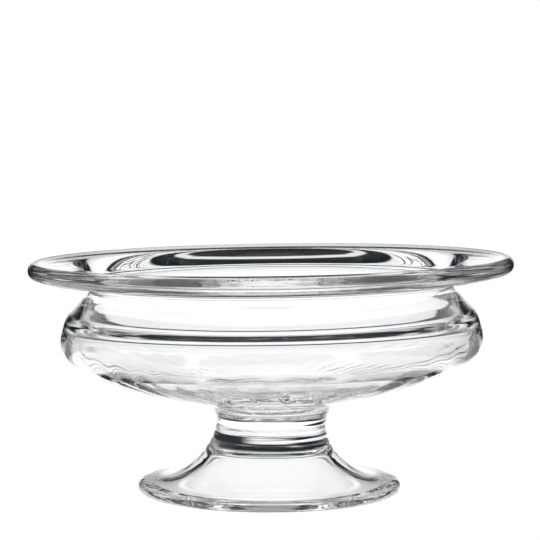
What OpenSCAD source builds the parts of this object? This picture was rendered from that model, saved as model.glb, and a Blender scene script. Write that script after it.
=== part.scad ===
// Footed glass bowl: a wide blown bowl with a turned-out rim, on a short solid stem and a spun hollow foot.
// The three pieces are turned about Z, stand on z = 0 and meet on flat faces where the hot glass was joined.

/* [Rim] */
// Diameter over the rounded lip
rim_d = 240; // [225:1:260]
// Height of the lip's widest point over the crease in the neck
lip_h = 6.2; // [5:0.1:8]
// How far the lip swells up from its widest point
lip_top_h = 4.2; // [2.5:0.1:5]
// Width of that upper swell
lip_top_w = 2.7; // [2:0.1:8]
// How far the lip swells down from its widest point
lip_under_h = 4.8; // [3:0.1:6]
// Width of that lower swell
lip_under_w = 6.3; // [4:0.1:11]
// Thickness of the flange over the crease, measured straight up
flange_root_t = 7.7; // [6:0.1:9]
// Radius of the mouth, where the flange turns down into the neck
mouth_round = 10.8; // [6:0.1:12]

/* [Bowl] */
// Diameter of the crease in the neck, under the flange
neck_d = 170.6; // [164:0.1:178]
// Radius inside that crease
neck_round = 3.6; // [1.5:0.1:5]
// Height of the sloping shoulder
shoulder_h = 17.1; // [14:0.1:21]
// Diameter where the shoulder meets the side
shoulder_d = 203.8; // [198:0.1:210]
// Radius of the edge between shoulder and side
shoulder_round = 15.2; // [8:0.1:26]
// Radius of that edge on the inside
inner_shoulder_round = 16.5; // [6:0.1:18]
// Height of the side, from the shoulder down to the underside
side_h = 19.9; // [14:0.1:26]
// Diameter where the side and the underside would meet if they weren't rounded
belly_d = 214.8; // [211:0.1:222]
// Radius of the belly
belly_round = 14.5; // [8:0.1:18]
// Radius of the belly on the inside
inner_belly_round = 18.4; // [8:0.1:20]
// Height of the steeper outer part of the underside
outer_under_h = 15.3; // [10:0.1:20]
// Diameter where the underside grows steeper
under_d = 150.8; // [140:0.1:170]
// Radius that blends the underside's two slopes
under_round = 190; // [60:5:220]
// Radius that blends those slopes on the inside
inner_under_round = 125; // [60:5:220]
// Height of the flatter inner part of the underside
inner_under_h = 10.4; // [8:0.1:16]
// Radius where the underside runs down into the stem
button_round = 9.1; // [4:0.1:12]
// Height of the button under the bowl that the stem is joined to
button_h = 8.3; // [6:0.1:12]
// Wall of the shoulder
shoulder_wall = 4.9; // [3.5:0.1:6]
// Wall of the side
side_wall = 3.2; // [2.5:0.1:6]
// Wall of the underside's outer part
under_wall = 2.8; // [2.5:0.1:7]
// Wall of the underside's inner part, next to the stem
base_wall = 5.2; // [4:0.1:10]
// Diameter of the flat in the middle of the floor
floor_d = 21.6; // [14:0.1:56]
// Radius that blends the floor into the underside
floor_round = 35; // [20:5:120]

/* [Stem] */
// Diameter of the stem where it joins the bowl
stem_top_d = 54.9; // [46:0.1:60]
// Diameter of the stem where it joins the foot
stem_foot_d = 59.8; // [50:0.1:66]
// Height of the stem
stem_h = 10.4; // [6:0.1:30]

/* [Foot] */
// Diameter over the foot's rounded edge
foot_d = 130.6; // [115:0.1:150]
// Thickness of the foot's edge
foot_edge_t = 5.2; // [4:0.1:7]
// Radius that rounds the edge
foot_edge_round = 2.5; // [1:0.1:2.8]
// Height of the foot, from the table up to the stem
foot_h = 24.1; // [20:0.1:40]
// Diameter where the foot's slope and its brim would meet if they weren't rounded
flare_d = 80; // [74:0.1:96]
// How far the brim climbs from the edge in to that point
brim_rise = 1.8; // [0.5:0.1:4]
// Radius of the flare between slope and brim
flare_round = 34; // [20:1:45]
// Wall of the foot
foot_wall = 4.2; // [3:0.1:6]
// Width of the ring that the foot stands on
rest_w = 6.5; // [3:0.1:9]
// Thickness of glass over the hollow of the foot
foot_top_t = 1.1; // [1:0.1:4]
// Radius at the top of the hollow
hollow_round = 8.5; // [2:0.5:10]

/* [Hidden] */
$fn = 128;
// Turn of the outline from one point of a rounding to the next, in degrees
arc_step = 5;
// The share of a side that the roundings at its two ends may use up
rounding_share = 0.96;

glass = [0.93, 0.96, 0.96, 0.45];

rim_r = rim_d / 2;
neck_r = neck_d / 2;
stem_top_r = stem_top_d / 2;
stem_foot_r = stem_foot_d / 2;
foot_r = foot_d / 2;

stem_z = foot_h;
bowl_z = stem_z + stem_h;
button_z = bowl_z + button_h;
under_z = button_z + inner_under_h;
belly_z = under_z + outer_under_h;
shoulder_z = belly_z + side_h;
neck_z = shoulder_z + shoulder_h;
lip_z = neck_z + lip_h;
rim_z = lip_z + lip_top_h;
hollow_z = foot_h - foot_top_t;

// Corners of the bowl's outside, from the stem up to the neck
button_corner = [stem_top_r, button_z];
under_corner = [under_d / 2, under_z];
belly_corner = [belly_d / 2, belly_z];
shoulder_corner = [shoulder_d / 2, shoulder_z];
neck_corner = [neck_r, neck_z];

// Corners of the foot's outside, from the stem down to the edge
foot_top_corner = [stem_foot_r, foot_h];
flare_corner = [flare_d / 2, foot_edge_t + brim_rise];
foot_edge_corner = [foot_r, foot_edge_t];

function unit(v) = v / norm(v);
// The direction on the left of a line that runs from a to b
function left_of(a, b) = let (d = unit(b - a)) [-d[1], d[0]];
// Where the line a-b and the line c-d cross
function crossing(a, b, c, d) =
    let (u = b - a, v = d - c, w = c - a)
    a + u * (w[0] * v[1] - w[1] * v[0]) / (u[0] * v[1] - u[1] * v[0]);
// The corner b of a-b-c moved to the left of both its sides, by t_in before it and t_out after it
function inset_corner(a, b, c, t_in, t_out) =
    crossing(a + left_of(a, b) * t_in, b + left_of(a, b) * t_in,
             b + left_of(b, c) * t_out, c + left_of(b, c) * t_out);
// The height of the line a-b at the radius r
function height_at(a, b, r) = a[1] + (b[1] - a[1]) * (r - a[0]) / (b[0] - a[0]);
// The radius of the line a-b at the height z
function radius_at(a, b, z) = a[0] + (b[0] - a[0]) * (z - a[1]) / (b[1] - a[1]);

// A path's corner is [radius, height, rounding]
function place(corner) = [corner[0], corner[1]];
function rounded(corner, rounding) = [corner[0], corner[1], rounding];
// Angle through which a path turns at its corner i, positive to the left
function turn(path, i) =
    let (d = unit(place(path[i]) - place(path[i - 1])), e = unit(place(path[i + 1]) - place(path[i])))
    atan2(d[0] * e[1] - d[1] * e[0], d[0] * e[0] + d[1] * e[1]);
// Length of side that the rounding at corner i asks for
function reach(path, i) =
    i == 0 || i == len(path) - 1 ? 0 : path[i][2] * tan(abs(turn(path, i)) / 2);
// The share of that length that the side between corners i and j has room for
function room_share(path, i, j) =
    let (asked = reach(path, i) + reach(path, j))
    asked == 0 ? 1 : min(1, rounding_share * norm(place(path[j]) - place(path[i])) / asked);
// The points of corner i, rounded by an arc
function corner_points(path, i) =
    let (bend = turn(path, i),
         share = min(room_share(path, i - 1, i), room_share(path, i, i + 1)),
         radius = path[i][2] * share,
         into = unit(place(path[i]) - place(path[i - 1])),
         side = sign(bend) * [-into[1], into[0]],
         start = place(path[i]) - into * reach(path, i) * share,
         steps = ceil(abs(bend) / arc_step))
    radius == 0 ? [place(path[i])] :
    [for (k = [0 : steps])
        let (swept = abs(bend) * k / steps)
        start + into * radius * sin(swept) + side * radius * (1 - cos(swept))];
// The whole path with each inner corner rounded
function rounded_path(path) = [
    place(path[0]),
    for (i = [1 : len(path) - 2]) each corner_points(path, i),
    place(path[len(path) - 1])
];

// Corners of the bowl's inside, from the mouth down to the floor
flange_root = [neck_r, neck_z + flange_root_t];
rim_corner = [rim_r - lip_top_w, rim_z];
inner_shoulder = inset_corner(belly_corner, shoulder_corner, neck_corner, side_wall, shoulder_wall);
shoulder_side = left_of(shoulder_corner, neck_corner) * shoulder_wall;
mouth_corner = crossing(rim_corner, flange_root, shoulder_corner + shoulder_side, neck_corner + shoulder_side);
inner_belly = inset_corner(under_corner, belly_corner, shoulder_corner, under_wall, side_wall);
inner_under = inset_corner(button_corner, under_corner, belly_corner, base_wall, under_wall);
base_side = left_of(button_corner, under_corner) * base_wall;
floor_z = height_at(button_corner + base_side, under_corner + base_side, floor_d / 2);

// The lip's round edge, from the flange's underside out and up to its top: two quarter ovals of unlike size
lip_steps = 90 / arc_step;
lip_curve = [
    for (k = [-lip_steps : lip_steps])
        let (swing = k * arc_step,
             w = k < 0 ? lip_under_w : lip_top_w,
             h = k < 0 ? lip_under_h : lip_top_h)
        [rim_r - w * (1 - cos(swing)), lip_z + h * sin(swing), 0]
];

bowl_path = [
    [0, bowl_z, 0],
    [stem_top_r, bowl_z, 0],
    rounded(button_corner, button_round),
    rounded(under_corner, under_round),
    rounded(belly_corner, belly_round),
    rounded(shoulder_corner, shoulder_round),
    rounded(neck_corner, neck_round),
    each lip_curve,
    rounded(mouth_corner, mouth_round),
    rounded(inner_shoulder, inner_shoulder_round),
    rounded(inner_belly, inner_belly_round),
    rounded(inner_under, inner_under_round),
    [floor_d / 2, floor_z, floor_round],
    [0, floor_z, 0]
];

// The stem's side is one hollow curve that stands upright where it meets the bowl
stem_steps = 10;
stem_spread = stem_foot_r - stem_top_r;
stem_side = [
    for (k = [0 : stem_steps])
        let (drop_share = 1 - k / stem_steps)
        [stem_top_r + stem_spread * drop_share * drop_share, bowl_z - stem_h * drop_share]
];

// Corners of the hollow under the foot, from the resting ring up to its top
rest_r = foot_r - foot_edge_round - rest_w;
inner_flare = inset_corner(foot_edge_corner, flare_corner, foot_top_corner, foot_wall, foot_wall);
slope_side = left_of(flare_corner, foot_top_corner) * foot_wall;
hollow_r = radius_at(flare_corner + slope_side, foot_top_corner + slope_side, hollow_z);

foot_path = [
    [0, foot_h, 0],
    [0, hollow_z, 0],
    [hollow_r, hollow_z, hollow_round],
    rounded(inner_flare, flare_round + foot_wall),
    [rest_r, 0, 0],
    [foot_r, 0, foot_edge_round],
    rounded(foot_edge_corner, foot_edge_round),
    rounded(flare_corner, flare_round),
    foot_top_corner
];

// The blown bowl with its button, sides, neck and flange
module bowl() {
    color(glass)
        rotate_extrude()
            polygon(rounded_path(bowl_path));
}

// The solid waisted stem
module stem() {
    color(glass)
        rotate_extrude()
            polygon(concat([[0, bowl_z], [0, stem_z]], stem_side));
}

// The foot, opened out thin and hollow underneath
module foot() {
    color(glass)
        rotate_extrude()
            polygon(rounded_path(foot_path));
}

bowl();
stem();
foot();
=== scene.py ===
import math

import bpy
import numpy as np
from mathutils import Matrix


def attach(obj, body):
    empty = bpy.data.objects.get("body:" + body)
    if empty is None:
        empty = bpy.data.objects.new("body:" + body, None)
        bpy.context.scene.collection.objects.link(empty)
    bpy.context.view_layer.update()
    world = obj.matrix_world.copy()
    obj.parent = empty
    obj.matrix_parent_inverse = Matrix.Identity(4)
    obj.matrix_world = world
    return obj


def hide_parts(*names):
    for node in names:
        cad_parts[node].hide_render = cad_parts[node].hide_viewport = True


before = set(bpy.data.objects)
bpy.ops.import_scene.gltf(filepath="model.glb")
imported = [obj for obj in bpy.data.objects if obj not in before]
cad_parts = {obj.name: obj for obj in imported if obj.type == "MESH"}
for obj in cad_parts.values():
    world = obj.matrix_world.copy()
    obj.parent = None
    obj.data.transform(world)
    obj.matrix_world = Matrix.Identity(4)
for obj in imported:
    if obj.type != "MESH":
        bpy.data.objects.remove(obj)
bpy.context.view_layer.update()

MM = 0.001

# Sizes of the glass in millimetres, with radii and heights of the corners before they are rounded

# Lip and flange
RIM_R = 120.0
LIP_H = 6.2
LIP_TOP_H, LIP_TOP_W = 4.2, 2.7
LIP_UNDER_H, LIP_UNDER_W = 4.8, 6.3
FLANGE_ROOT_T = 7.4
MOUTH_ROUND = 13.6

# Neck, shoulder and belly
NECK_R, NECK_ROUND = 85.3, 3.6
SHOULDER_H, SHOULDER_R = 17.1, 101.9
SHOULDER_ROUND, INNER_SHOULDER_ROUND = 15.2, 16.5
SIDE_H, BELLY_R = 19.9, 107.4
BELLY_ROUND, INNER_BELLY_ROUND = 14.5, 18.4

# Underside, button and floor
OUTER_UNDER_H, INNER_UNDER_H = 15.3, 10.4
UNDER_R = 75.4
UNDER_ROUND, INNER_UNDER_ROUND = 190, 125
BUTTON_H, BUTTON_ROUND = 8.3, 9.1
FLOOR_R, FLOOR_ROUND = 10.8, 35

# Walls of the bowl
SHOULDER_WALL, SIDE_WALL = 4.9, 3.2
UNDER_WALL, BASE_WALL = 2.8, 5.2

# Stem
STEM_TOP_R, STEM_FOOT_R = 27.45, 29.9
STEM_H = 10.4

# Foot
FOOT_R, FOOT_H = 65.3, 24.1
FOOT_EDGE_T, FOOT_EDGE_ROUND = 5.2, 2.5
FLARE_R, FLARE_ROUND = 40.0, 34.0
BRIM_RISE = 1.8
FOOT_WALL, FOOT_TOP_T = 4.2, 3.0
REST_W = 6.5
HOLLOW_ROUND = 8.5

BOWL_Z = FOOT_H + STEM_H

# Fineness of the turned meshes
SEGMENTS = 300
ARC_STEP_DEG, LIP_STEP_DEG = 2, 5
STEM_POINTS = 21
SAMPLE_MM = 0.2
BLUR_MM, BLUR_REACH = 0.7, 4
LONGEST_MM, STEM_STEP_MM = 2.0, 0.5
SHARPEST_DEG = 3.0
STEM_MARGIN = 1
AXIS_MM = 0.001
TINY = 1e-12

# The most of an edge that the roundings at its two ends may take
ROUNDING_SHARE = 0.96


# Outline of the glass

def point(r, z):
    return np.array([r, z], float)


def unit(v):
    return v / np.hypot(*v)


def left_of(a, b):
    """The unit vector square to the line from a to b, to its left."""
    d = unit(b - a)
    return point(-d[1], d[0])


def crossing(a, b, c, d):
    """Where the line through a and b meets the line through c and d."""
    u, v, w = b - a, d - c, c - a
    return a + u * (w[0] * v[1] - w[1] * v[0]) / (u[0] * v[1] - u[1] * v[0])


def inset(a, b, c, t_in, t_out):
    """Corner b of the path a, b, c set to its left, by t_in from the first edge and t_out from the second."""
    n, m = left_of(a, b) * t_in, left_of(b, c) * t_out
    return crossing(a + n, b + n, b + m, c + m)


def rounded_path(corners):
    """Points along a path of (corner, radius) with each inner corner rounded by an arc."""
    pts = [p for p, _ in corners]
    last = len(pts) - 1

    def turn(i):
        d, e = unit(pts[i] - pts[i - 1]), unit(pts[i + 1] - pts[i])
        return math.atan2(d[0] * e[1] - d[1] * e[0], d @ e)

    def reach(i):
        return 0.0 if i in (0, last) else corners[i][1] * math.tan(abs(turn(i)) / 2)

    def room(i, j):
        asked = reach(i) + reach(j)
        return 1.0 if asked == 0 else min(1.0, ROUNDING_SHARE * np.hypot(*(pts[j] - pts[i])) / asked)

    out = [pts[0]]
    for i in range(1, last):
        share = min(room(i - 1, i), room(i, i + 1))
        radius = corners[i][1] * share
        if radius == 0:
            out.append(pts[i])
            continue
        bend = turn(i)
        into = unit(pts[i] - pts[i - 1])
        side = math.copysign(1, bend) * point(-into[1], into[0])
        start = pts[i] - into * reach(i) * share
        steps = max(1, math.ceil(abs(math.degrees(bend)) / ARC_STEP_DEG))
        for k in range(steps + 1):
            swept = abs(bend) * k / steps
            out.append(start + into * radius * math.sin(swept) + side * radius * (1 - math.cos(swept)))
    out.append(pts[last])
    return np.array(out)


def foot_outline():
    """From the top of the foot's hollow down, round the edge and up to the stem."""
    top = point(STEM_FOOT_R, FOOT_H)
    edge = point(FOOT_R, FOOT_EDGE_T)
    flare = point(FLARE_R, FOOT_EDGE_T + BRIM_RISE)
    hollow_z = FOOT_H - FOOT_TOP_T
    slope = left_of(flare, top) * FOOT_WALL
    hollow = crossing(flare + slope, top + slope, point(0, hollow_z), point(1, hollow_z))
    return rounded_path([
        (point(0, hollow_z), 0),
        (hollow, HOLLOW_ROUND),
        (inset(edge, flare, top, FOOT_WALL, FOOT_WALL), FLARE_ROUND + FOOT_WALL),
        (point(FOOT_R - FOOT_EDGE_ROUND - REST_W, 0), 0),
        (point(FOOT_R, 0), FOOT_EDGE_ROUND),
        (edge, FOOT_EDGE_ROUND),
        (flare, FLARE_ROUND),
        (top, 0)])


def stem_outline():
    """From the foot up: the stem's waist is half a parabola."""
    drop = np.linspace(1, 0, STEM_POINTS)[:, None]
    return np.hstack([STEM_TOP_R + (STEM_FOOT_R - STEM_TOP_R) * drop ** 2, BOWL_Z - STEM_H * drop])


def lip_curve(widest):
    """The lip's round edge, from the flange's underside out and up to its top: two unlike quarter ovals."""
    curve = []
    for swing in np.radians(np.arange(-90, 91, LIP_STEP_DEG)):
        w, h = (LIP_UNDER_W, LIP_UNDER_H) if swing < 0 else (LIP_TOP_W, LIP_TOP_H)
        curve.append((widest + point(-w * (1 - math.cos(swing)), h * math.sin(swing)), 0))
    return curve


def bowl_outline():
    """From the stem up the outside, over the lip and down the inside to the middle of the floor."""
    button = point(STEM_TOP_R, BOWL_Z + BUTTON_H)
    under = point(UNDER_R, button[1] + INNER_UNDER_H)
    belly = point(BELLY_R, under[1] + OUTER_UNDER_H)
    shoulder = point(SHOULDER_R, belly[1] + SIDE_H)
    neck = point(NECK_R, shoulder[1] + SHOULDER_H)
    lip = point(RIM_R, neck[1] + LIP_H)
    rim = lip + point(-LIP_TOP_W, LIP_TOP_H)
    root = neck + point(0, FLANGE_ROOT_T)
    wall = left_of(shoulder, neck) * SHOULDER_WALL
    base = left_of(button, under) * BASE_WALL
    floor = crossing(button + base, under + base, point(FLOOR_R, 0), point(FLOOR_R, 1))
    return rounded_path([
        (point(STEM_TOP_R, BOWL_Z), 0),
        (button, BUTTON_ROUND),
        (under, UNDER_ROUND),
        (belly, BELLY_ROUND),
        (shoulder, SHOULDER_ROUND),
        (neck, NECK_ROUND),
        *lip_curve(lip),
        (crossing(rim, root, shoulder + wall, neck + wall), MOUTH_ROUND),
        (inset(belly, shoulder, neck, SIDE_WALL, SHOULDER_WALL), INNER_SHOULDER_ROUND),
        (inset(under, belly, shoulder, UNDER_WALL, SIDE_WALL), INNER_BELLY_ROUND),
        (inset(button, under, belly, BASE_WALL, UNDER_WALL), INNER_UNDER_ROUND),
        (floor, FLOOR_ROUND),
        (point(0, floor[1]), 0)])


def glass_outline():
    """The whole outline, from the top of the foot's hollow round the outside to the middle of the floor."""
    return np.vstack([foot_outline()[:-1], stem_outline()[:-1], bowl_outline()])


def softened(path):
    """The path sampled evenly and blurred a little, so that it bends as gently as fire-polished glass."""
    length = np.concatenate([[0], np.cumsum(np.hypot(*np.diff(path, axis=0).T))])
    even = np.linspace(0, length[-1], int(length[-1] / SAMPLE_MM))
    r, z = np.interp(even, length, path[:, 0]), np.interp(even, length, path[:, 1])
    half = int(BLUR_REACH * BLUR_MM / SAMPLE_MM)
    kernel = np.exp(-0.5 * (np.arange(-half, half + 1) * SAMPLE_MM / BLUR_MM) ** 2)
    kernel /= kernel.sum()
    # past the axis the outline goes on as its mirror image
    r = np.concatenate([-r[half:0:-1], r, -r[-2:-half - 2:-1]])
    z = np.concatenate([z[half:0:-1], z, z[-2:-half - 2:-1]])
    return np.stack([np.convolve(r, kernel, "valid"), np.convolve(z, kernel, "valid")], 1)


def thinned(path, joints_z):
    """The path with only the points that its bends need and one at each joint of the stem, and their rows."""
    step = np.diff(path, axis=0)
    angle = np.unwrap(np.arctan2(step[:, 1], step[:, 0]))
    on_stem = (path[:, 0] > STEM_TOP_R - STEM_MARGIN) & (path[:, 0] < STEM_FOOT_R + STEM_MARGIN)
    joints = [int(np.argmin(np.where(on_stem, np.abs(path[:, 1] - z), np.inf))) for z in joints_z]
    longest = np.where(on_stem & (path[:, 1] < BOWL_Z + BUTTON_H), STEM_STEP_MM, LONGEST_MM)
    kept, run, since = [0], 0.0, angle[0]
    for i in range(1, len(path) - 1):
        run += np.hypot(*step[i - 1])
        if i in joints or run > longest[i] or abs(angle[i] - since) > math.radians(SHARPEST_DEG):
            kept.append(i)
            run, since = 0.0, angle[i]
    kept.append(len(path) - 1)
    out = path[kept]
    out[0, 0] = out[-1, 0] = 0.0
    rows = [kept.index(i) for i in joints]
    out[rows, 1] = joints_z
    return out, rows


# Ripples that the tools left, in millimetres, and the waves round the axis by which they stray

# How much the ripples vary round the axis, as shares of their depth, and the count and phase of two waves
EVEN_SHARE, UNEVEN_SHARE = 0.65, 0.35
SHORT_COUNT, SHORT_PHASE = 5, 1.1
LONG_COUNT, LONG_PHASE = 3, 0.4

# Ribs under the belly, with the size, count and phase of each wave of their wander
RIB_DEPTH, RIB_COUNT = 0.13, 42
RIB_FROM_R, RIB_TO_R, RIB_SOFT = 46, 97, 10
RIB_TOP_H = 45
RIB_TWIST = 14
RIB_WANDER = ((1.4, 3, 0.5), (0.9, 7, 2.0))

# Crossed ripples on the floor
CROSS_DEPTH, CROSS_LENGTH = 0.05, 9.0
CROSS_FROM_R, CROSS_TO_R, CROSS_SOFT = 16, 52, 8
CROSS_TOP_H = 40
CROSS_COUNT, CROSS_TWIST = 13, 6
CROSS_WANDER = ((2.2, 9, 0.0),)

# Dents along the foot's edge
DENT_DEPTH, DENT_COUNT = 0.04, 19
DENT_REACH, DENT_SOFT = 3, 3
DENT_TWIST = 3
DENT_WANDER = ((2.5, 4, 0.7),)

# Rings round the stem
RING_DEPTH, RING_LENGTH = 0.1, 3.6
RING_BELOW, RING_ABOVE, RING_SOFT = 2, 4, 3
RING_MARGIN = 4
RING_WANDER = ((0.3, 1, 1.0),)

# Lean of the glass above the foot, and how far foot and bowl stand off the middle
LEAN_DEG = 0.804
LEAN_FROM, LEAN_TO, LEAN_PIVOT = 20.0, 46.0, 33.0
FOOT_SHIFT, BOWL_SHIFT = -0.33, 1.45


def between(x, low, high, soft):
    """1 from low to high, running out to 0 over soft on either side."""
    return np.clip((x - low) / soft + 1, 0, 1) * np.clip((high - x) / soft + 1, 0, 1)


def straying(phase, theta, wander):
    """The phase with the waves of a wander added to it."""
    return sum((size * np.sin(count * theta + start) for size, count, start in wander), phase)


def ripples(path, theta):
    """How far each place of the grid stands out from the turned form."""
    r, z = path[:, :1], path[:, 1:]
    outside = np.arange(len(path))[:, None] < np.argmax(path[:, 0])
    short = np.sin(SHORT_COUNT * theta + SHORT_PHASE)
    uneven = EVEN_SHARE + UNEVEN_SHARE * short * np.cos(LONG_COUNT * theta + LONG_PHASE)

    under = between(r, RIB_FROM_R, RIB_TO_R, RIB_SOFT) * (outside & (z > BOWL_Z) & (z < BOWL_Z + RIB_TOP_H))
    ribs = RIB_DEPTH * under * uneven * np.sin(straying(RIB_COUNT * theta, theta, RIB_WANDER) + r / RIB_TWIST)

    floor = between(r, CROSS_FROM_R, CROSS_TO_R, CROSS_SOFT) * (~outside & (z < BOWL_Z + CROSS_TOP_H))
    circles = np.sin(straying(2 * np.pi * r / CROSS_LENGTH, theta, CROSS_WANDER))
    crossed = CROSS_DEPTH * floor * circles * np.cos(CROSS_COUNT * theta + r / CROSS_TWIST)

    edge = between(r, FOOT_R - DENT_REACH, FOOT_R + DENT_REACH, DENT_SOFT) * (outside & (z < FOOT_H))
    dimples = np.sin(straying(DENT_COUNT * theta, theta, DENT_WANDER) + z / DENT_TWIST)
    dents = DENT_DEPTH * edge * uneven * dimples

    stem = between(z, FOOT_H - RING_BELOW, BOWL_Z + RING_ABOVE, RING_SOFT)
    stem = stem * (outside & (r < STEM_FOOT_R + RING_MARGIN))
    rings = RING_DEPTH * stem * np.sin(straying(2 * np.pi * (z - FOOT_H) / RING_LENGTH, theta, RING_WANDER))
    return ribs + crossed + dents + rings


def leaned(points):
    """Tilts the glass above the foot a little, right side up, and sets it off the foot's middle."""
    x, y, z = points[..., 0], points[..., 1], points[..., 2]
    t = np.clip((z - LEAN_FROM) / (LEAN_TO - LEAN_FROM), 0, 1)
    t = t * t * (3 - 2 * t)
    tilt = np.radians(LEAN_DEG) * t
    h = z - LEAN_PIVOT
    shift = FOOT_SHIFT + (BOWL_SHIFT - FOOT_SHIFT) * t
    return np.stack([shift + x * np.cos(tilt) - h * np.sin(tilt), y,
                     LEAN_PIVOT + x * np.sin(tilt) + h * np.cos(tilt)], -1)


def grid_of(path):
    """Places and normals of the turned glass, in rows along the outline and columns round the axis."""
    theta = 2 * np.pi * np.arange(SEGMENTS) / SEGMENTS
    tangent = np.gradient(path, axis=0)
    tangent /= np.hypot(*tangent.T)[:, None]
    proud = ripples(path, theta)
    r, z = path[:, :1] + proud * tangent[:, 1:], path[:, 1:] - proud * tangent[:, :1]
    place = leaned(np.stack([r * np.cos(theta), r * np.sin(theta), z], -1))
    along = np.gradient(place, axis=0)
    around = np.roll(place, -1, axis=1) - np.roll(place, 1, axis=1)
    normal = np.cross(around, along)
    normal = normal / np.maximum(np.linalg.norm(normal, axis=-1, keepdims=True), TINY)
    # on the axis there is one normal, the mean of the row beside it
    for end, beside in ((0, 1), (-1, -2)):
        normal[end] = normal[beside].mean(0)
        normal[end] /= np.linalg.norm(normal[end][0])
    return place, normal


# Meshes of the pieces

SKIN_SLOT, JOINT_SLOT = 0, 1


def columns():
    """Each column of the grid with the next one round the axis."""
    return [(k, (k + 1) % SEGMENTS) for k in range(SEGMENTS)]


def numbered(place):
    """The vertices of some rows of the grid, and which is at each place: a row on the axis has one."""
    verts, ids = [], []
    for row in place:
        first = len(verts)
        on_axis = np.ptp(row[:, :2], axis=0).max() < AXIS_MM
        verts.extend([row.mean(0)] if on_axis else row)
        ids.append([first] * SEGMENTS if on_axis else list(range(first, first + SEGMENTS)))
    return verts, ids


def skin(ids, normal):
    """The faces between the rows, and the normal at each of their corners."""
    faces, normals = [], []
    for a in range(len(ids) - 1):
        b = a + 1
        for k, j in columns():
            corners = {ids[row][col]: normal[row, col] for row, col in ((a, k), (a, j), (b, j), (b, k))}
            faces.append(list(corners))
            normals.extend(corners.values())
    return faces, normals


def joint_face(place, ids, middle, upward):
    """A flat fan of faces from the vertex middle to one row, and the normal at each of their corners."""
    across = np.cross(place[1] - place[0], place[2] - place[1])
    facing = across / np.linalg.norm(across)
    if upward:
        faces = [[middle, ids[k], ids[j]] for k, j in columns()]
    else:
        faces = [[middle, ids[j], ids[k]] for k, j in columns()]
        facing = -facing
    return faces, [facing] * (3 * len(faces))


def piece_mesh(name, place, normal):
    """One piece from some rows of the grid, closed by a flat joint face at each end off the axis."""
    verts, ids = numbered(place)
    faces, normals = skin(ids, normal)
    slots = [SKIN_SLOT] * len(faces)
    for end, upward in ((0, False), (-1, True)):
        if ids[end][0] == ids[end][1]:
            continue
        end_faces, end_normals = joint_face(place[end], ids[end], len(verts), upward)
        verts.append(place[end].mean(0))
        faces.extend(end_faces)
        normals.extend(end_normals)
        slots.extend([JOINT_SLOT] * len(end_faces))
    mesh = bpy.data.meshes.new(name)
    mesh.from_pydata([tuple(v * MM) for v in verts], [], faces)
    mesh.polygons.foreach_set("use_smooth", [True] * len(faces))
    mesh.polygons.foreach_set("material_index", slots)
    mesh.normals_split_custom_set([tuple(n) for n in normals])
    mesh.update()
    piece = bpy.data.objects.new(name, mesh)
    bpy.context.scene.collection.objects.link(piece)
    return piece


# Materials

GLASS_IOR = 1.5
GLASS_CLEAR, GLASS_DEEP = (0.998, 0.999, 0.999, 1), (0.975, 0.985, 0.988, 1)

# Tint and tool marks are finer up the axis than round it
DRAWN_OUT = (1.0, 1.0, 5.0)
TINT_SCALE, TINT_DETAIL = 30.0, 2.0
TINT_FROM, TINT_TO = 0.35, 0.65
MARK_SCALE, MARK_DETAIL = 45.0, 1.0
MARK_FROM, MARK_TO = 0.55, 0.8
MARK_DEPTH_MM, MARK_ROUGHNESS = 0.012, 0.004


class Net:
    """Short forms for making nodes in one node tree."""

    def __init__(self, tree):
        self.tree = tree

    def node(self, kind, **settings):
        node = self.tree.nodes.new(kind)
        for key, value in settings.items():
            setattr(node, key, value)
        return node

    def put(self, socket, value):
        """Sets a socket to a number or a colour, or links an output to it."""
        if isinstance(value, (int, float, tuple)):
            socket.default_value = value
        else:
            self.tree.links.new(value, socket)

    def math(self, operation, *values):
        node = self.node("ShaderNodeMath", operation=operation)
        for socket, value in zip(node.inputs, values):
            self.put(socket, value)
        return node.outputs[0]

    def times(self, one, other):
        return self.math("MULTIPLY", one, other)

    def degrees(self, radians):
        return self.times(radians, 180 / math.pi)

    def noise(self, vector, scale, detail):
        node = self.node("ShaderNodeTexNoise")
        for key, value in (("Vector", vector), ("Scale", scale), ("Detail", detail)):
            self.put(node.inputs[key], value)
        return node.outputs["Fac"]

    def ramp(self, x, low, high, at_low=0.0, at_high=1.0):
        node = self.node("ShaderNodeMapRange", interpolation_type="SMOOTHSTEP")
        for key, value in (("Value", x), ("From Min", low), ("From Max", high), ("To Min", at_low),
                           ("To Max", at_high)):
            self.put(node.inputs[key], value)
        return node.outputs[0]

    def fade(self, x, end, soft, full=1.0):
        """full up to end, 0 from soft beyond it."""
        return self.ramp(x, end, end + soft, full, 0.0)

    def band(self, x, low, high, soft):
        """1 from low to high, 0 from soft beyond them."""
        return self.times(self.ramp(x, low - soft, low), self.fade(x, high, soft))

    def most(self, first, *others):
        """The greatest of some values."""
        for other in others:
            first = self.math("MAXIMUM", first, other)
        return first

    def blend(self, share, colour, other):
        node = self.node("ShaderNodeMix", data_type="RGBA")
        for key, value in (("Factor", share), ("A", colour), ("B", other)):
            self.put(node.inputs[key], value)
        return node.outputs["Result"]


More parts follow.
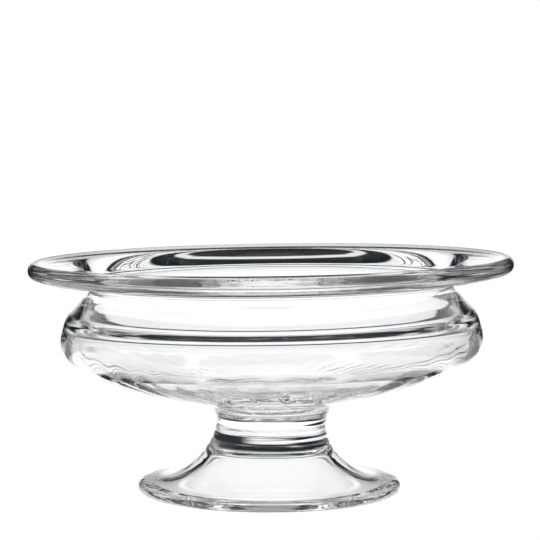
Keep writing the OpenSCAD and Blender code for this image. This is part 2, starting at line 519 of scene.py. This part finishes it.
def glass_material(name, shift):
    """Clear glass with a faint uneven tint and slight tool marks, both drawn out the way it was spun."""
    material = bpy.data.materials.new(name)
    material.use_nodes = True
    net = Net(material.node_tree)
    shader = material.node_tree.nodes["Principled BSDF"]
    shader.inputs["IOR"].default_value = GLASS_IOR
    shader.inputs["Transmission Weight"].default_value = 1.0
    spun = net.node("ShaderNodeMapping")
    net.put(spun.inputs["Vector"], net.node("ShaderNodeTexCoord").outputs["Object"])
    spun.inputs["Location"].default_value = (shift, 0, 0)
    spun.inputs["Scale"].default_value = DRAWN_OUT
    tint = net.ramp(net.noise(spun.outputs[0], TINT_SCALE, TINT_DETAIL), TINT_FROM, TINT_TO)
    net.put(shader.inputs["Base Color"], net.blend(tint, GLASS_DEEP, GLASS_CLEAR))
    marks = net.noise(spun.outputs[0], MARK_SCALE, MARK_DETAIL)
    net.put(shader.inputs["Roughness"], net.ramp(marks, MARK_FROM, MARK_TO, 0.0, MARK_ROUGHNESS))
    bump = net.node("ShaderNodeBump")
    bump.inputs["Strength"].default_value = 1.0
    bump.inputs["Distance"].default_value = MARK_DEPTH_MM * MM
    net.put(bump.inputs["Height"], marks)
    net.put(shader.inputs["Normal"], bump.outputs[0])
    return material


def joint_material():
    """The faces where two pieces are melted together: nothing of them shows."""
    material = bpy.data.materials.new("melted_joint")
    material.use_nodes = True
    material.node_tree.nodes["Principled BSDF"].inputs["Alpha"].default_value = 0.0
    return material


def glass_pieces():
    """Foot, stem and bowl: one turned form, parted where they are melted together."""
    path, (foot_row, bowl_row) = thinned(softened(glass_outline()), [FOOT_H, BOWL_Z])
    place, normal = grid_of(path)
    melted = joint_material()
    for name, first, last in (("foot", 0, foot_row), ("stem", foot_row, bowl_row),
                              ("bowl", bowl_row, len(path) - 1)):
        rows = slice(first, last + 1)
        piece = piece_mesh(name + "_glass", place[rows], normal[rows])
        # the first row's number gives each piece a tint and marks of its own
        piece.data.materials.append(glass_material(name + "_glass", first))
        piece.data.materials.append(melted)
        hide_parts(name)
        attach(piece, "root")


# Studio, with lengths in metres and bearings in degrees round from straight behind the bowl

# White as the camera sees it, full light for the glass, and the dark of the flags
WHITE = (1.03, 1.03, 1.03, 1)
FULL_LIGHT = (1, 1, 1, 1)
FLAG_DARK = (0.012, 0.016, 0.019, 1)

# Backdrop: how far it is full, and over how much more it fades out, to the sides and upward
BACKDROP = 1.03
BACKDROP_HALF_DEG, BACKDROP_SIDE_SOFT_DEG = 7.0, 14.0
BACKDROP_TOP_DEG, BACKDROP_TOP_SOFT_DEG = 3.2, 5.5

# Backdrop on the left
SIDE_BEARING_DEG = -90.0
SIDE_DROP_HALF_DEG = 9.0
SIDE_DROP_TOP_DEG, SIDE_DROP_SOFT_DEG = 4.5, 1.5

# Strip of light above the backdrop, and light overhead
REAR_LIGHT = 0.9
REAR_HALF_DEG = 32.0
REAR_FROM_DEG, REAR_TO_DEG, REAR_SOFT_DEG = 24.0, 26.0, 2.0
TOP_LIGHT = 0.3
TOP_FROM_DEG, TOP_SOFT_DEG = 60.0, 10.0

# Table
TABLE_LIGHT = (1.3, 1.3, 1.3, 1)
TABLE_R, TABLE_CORNERS = 6.0, 96
TABLE_Z = -0.0003
TABLE_SOFT = 0.04

# Parts of the table that are lit: a dim half round behind the bowl, a strip to the front of it, and fans
HALF_ROUND_R, HALF_ROUND_SHARE = 0.7, 0.15
STRIP_HALF_W, STRIP_FRONT = 0.14, 0.3

# Bearing and reach of each fan, and the degrees by which it widens on either side
BACK_FAN = (0.0, 6.0, 10.0)
SIDE_FAN = (SIDE_BEARING_DEG, 6.0, 9.0)
FRONT_FAN = (135.0, 1.9, 6.0)

# Where the table's light falls off with distance, and what is left of it there
FAR_FROM, FAR_TO, FAR_SHARE = 0.5, 0.9, 0.78

# Shade of the bowl on the table: under its middle, and in full below the rim on the two sides
UNDER_SHADE, UNDER_SHADE_R, UNDER_SHADE_SOFT = 0.21, 0.115, 0.03
RIM_SHADE_FROM, RIM_SHADE_TO, RIM_SHADE_SOFT = 0.084, 0.135, 0.012
RIM_SHADE_BEARING_DEG, RIM_SHADE_HALF_DEG, RIM_SHADE_SOFT_DEG = 95.0, 40.0, 15.0


def seen_directly(net):
    return net.node("ShaderNodeLightPath").outputs["Is Camera Ray"]


def bearing(net, x, y):
    """Degrees round from straight behind the bowl, to the right of it more and to the left less than 0."""
    return net.degrees(net.math("ARCTAN2", x, y))


def studio_world():
    """White backdrops, two lights and dark flags between them, for the glass; plain white for the camera."""
    world = bpy.data.worlds.new("studio")
    bpy.context.scene.world = world
    world.use_nodes = True
    world.node_tree.nodes.clear()
    net = Net(world.node_tree)
    out, back = net.node("ShaderNodeOutputWorld"), net.node("ShaderNodeBackground")
    net.put(out.inputs["Surface"], back.outputs[0])
    way = net.node("ShaderNodeSeparateXYZ")
    net.put(way.inputs[0], net.node("ShaderNodeTexCoord").outputs["Generated"])
    x, y, z = way.outputs
    up, turn = net.degrees(net.math("ARCSINE", z)), bearing(net, x, y)
    backdrop = net.times(net.band(turn, -BACKDROP_HALF_DEG, BACKDROP_HALF_DEG, BACKDROP_SIDE_SOFT_DEG),
                         net.fade(up, BACKDROP_TOP_DEG, BACKDROP_TOP_SOFT_DEG, BACKDROP))
    side_from, side_to = SIDE_BEARING_DEG - SIDE_DROP_HALF_DEG, SIDE_BEARING_DEG + SIDE_DROP_HALF_DEG
    side = net.times(net.band(turn, side_from, side_to, SIDE_DROP_SOFT_DEG),
                     net.fade(up, SIDE_DROP_TOP_DEG, SIDE_DROP_SOFT_DEG, BACKDROP))
    rear = net.times(net.band(turn, -REAR_HALF_DEG, REAR_HALF_DEG, REAR_SOFT_DEG),
                     net.times(REAR_LIGHT, net.band(up, REAR_FROM_DEG, REAR_TO_DEG, REAR_SOFT_DEG)))
    top = net.ramp(up, TOP_FROM_DEG - TOP_SOFT_DEG, TOP_FROM_DEG, 0.0, TOP_LIGHT)
    for_glass = net.blend(net.most(backdrop, side, rear, top), FLAG_DARK, FULL_LIGHT)
    net.put(back.inputs["Color"], net.blend(seen_directly(net), for_glass, WHITE))


def fan(net, x, y, bearing_deg, reach, spread_deg):
    """A strip of the table that runs out from the bowl one way and widens as it goes."""
    c, s = math.cos(math.radians(bearing_deg)), math.sin(math.radians(bearing_deg))
    along = net.math("ADD", net.times(x, s), net.times(y, c))
    across = net.math("ABSOLUTE", net.math("SUBTRACT", net.times(x, c), net.times(y, s)))
    past = net.math("SUBTRACT", across, net.times(along, math.tan(math.radians(spread_deg))))
    return net.times(net.band(along, 0.0, reach, TABLE_SOFT), net.fade(past, STRIP_HALF_W, TABLE_SOFT))


def bowl_shade(net, x, y, far):
    """The share of the table's light that the bowl takes away."""
    off_side = net.math("SUBTRACT", net.math("ABSOLUTE", bearing(net, x, y)), RIM_SHADE_BEARING_DEG)
    rim = net.times(net.band(far, RIM_SHADE_FROM, RIM_SHADE_TO, RIM_SHADE_SOFT),
                    net.fade(net.math("ABSOLUTE", off_side), RIM_SHADE_HALF_DEG, RIM_SHADE_SOFT_DEG))
    return net.most(net.fade(far, UNDER_SHADE_R, UNDER_SHADE_SOFT, UNDER_SHADE), rim)


def table_share(net, x, y):
    """How much of the table's full light there is at a place of it."""
    far = net.math("SQRT", net.math("ADD", net.times(x, x), net.times(y, y)))
    half_round = net.times(net.fade(far, HALF_ROUND_R, TABLE_SOFT, HALF_ROUND_SHARE),
                           net.ramp(y, -TABLE_SOFT, TABLE_SOFT))
    front = net.times(net.band(x, -STRIP_HALF_W, STRIP_HALF_W, TABLE_SOFT),
                      net.band(y, -STRIP_FRONT, 0.0, TABLE_SOFT))
    fans = [fan(net, x, y, *one) for one in (BACK_FAN, SIDE_FAN, FRONT_FAN)]
    lit = net.most(half_round, front, *fans)
    lit = net.times(lit, net.math("SUBTRACT", 1.0, bowl_shade(net, x, y, far)))
    return net.times(lit, net.ramp(far, FAR_FROM, FAR_TO, 1.0, FAR_SHARE))


def table_material():
    """A white light table with dark flags beside it, for the glass; plain white for the camera."""
    material = bpy.data.materials.new("light_table")
    material.use_nodes = True
    material.node_tree.nodes.clear()
    net = Net(material.node_tree)
    out, glow = net.node("ShaderNodeOutputMaterial"), net.node("ShaderNodeEmission")
    net.put(out.inputs["Surface"], glow.outputs[0])
    spot = net.node("ShaderNodeSeparateXYZ")
    net.put(spot.inputs[0], net.node("ShaderNodeNewGeometry").outputs["Position"])
    x, y, _ = spot.outputs
    for_glass = net.blend(table_share(net, x, y), FLAG_DARK, TABLE_LIGHT)
    net.put(glow.inputs["Color"], net.blend(seen_directly(net), for_glass, WHITE))
    return material


def light_table():
    mesh = bpy.data.meshes.new("light_table")
    turns = [2 * math.pi * k / TABLE_CORNERS for k in range(TABLE_CORNERS)]
    ring = [(TABLE_R * math.cos(turn), TABLE_R * math.sin(turn), TABLE_Z) for turn in turns]
    mesh.from_pydata(ring, [], [list(range(TABLE_CORNERS))])
    mesh.materials.append(table_material())
    table = bpy.data.objects.new("light_table", mesh)
    bpy.context.scene.collection.objects.link(table)


# Camera: distance and aim in millimetres, focal length in pixels of the square frame

CAM_FAR, CAM_UP_DEG = 1057.2, 4.25
AIM_Z = 109.85
FOCAL_PX, FRAME_PX = 2131.9, 540
SENSOR_MM = 36.0


def photo_camera():
    data = bpy.data.cameras.new("camera")
    data.sensor_width = SENSOR_MM
    data.lens = SENSOR_MM * FOCAL_PX / FRAME_PX
    camera = bpy.data.objects.new("camera", data)
    up = math.radians(CAM_UP_DEG)
    camera.location = (0, -CAM_FAR * MM * math.cos(up), (AIM_Z + CAM_FAR * math.sin(up)) * MM)
    camera.rotation_euler = (math.pi / 2 - up, 0, 0)
    bpy.context.scene.collection.objects.link(camera)
    bpy.context.scene.camera = camera


def light_paths(bounces=64):
    """Light is caught many times between the walls of thick glass, so paths run long."""
    scene = bpy.context.scene
    scene.view_settings.view_transform = "Standard"
    cycles = scene.cycles
    cycles.max_bounces = cycles.transmission_bounces = cycles.glossy_bounces = bounces
    cycles.transparent_max_bounces = bounces
    cycles.caustics_refractive = cycles.caustics_reflective = True
    cycles.sample_clamp_indirect = 0
    cycles.blur_glossy = 0
    cycles.use_denoising = True
    cycles.denoising_input_passes = "RGB"


glass_pieces()
studio_world()
light_table()
photo_camera()
light_paths()
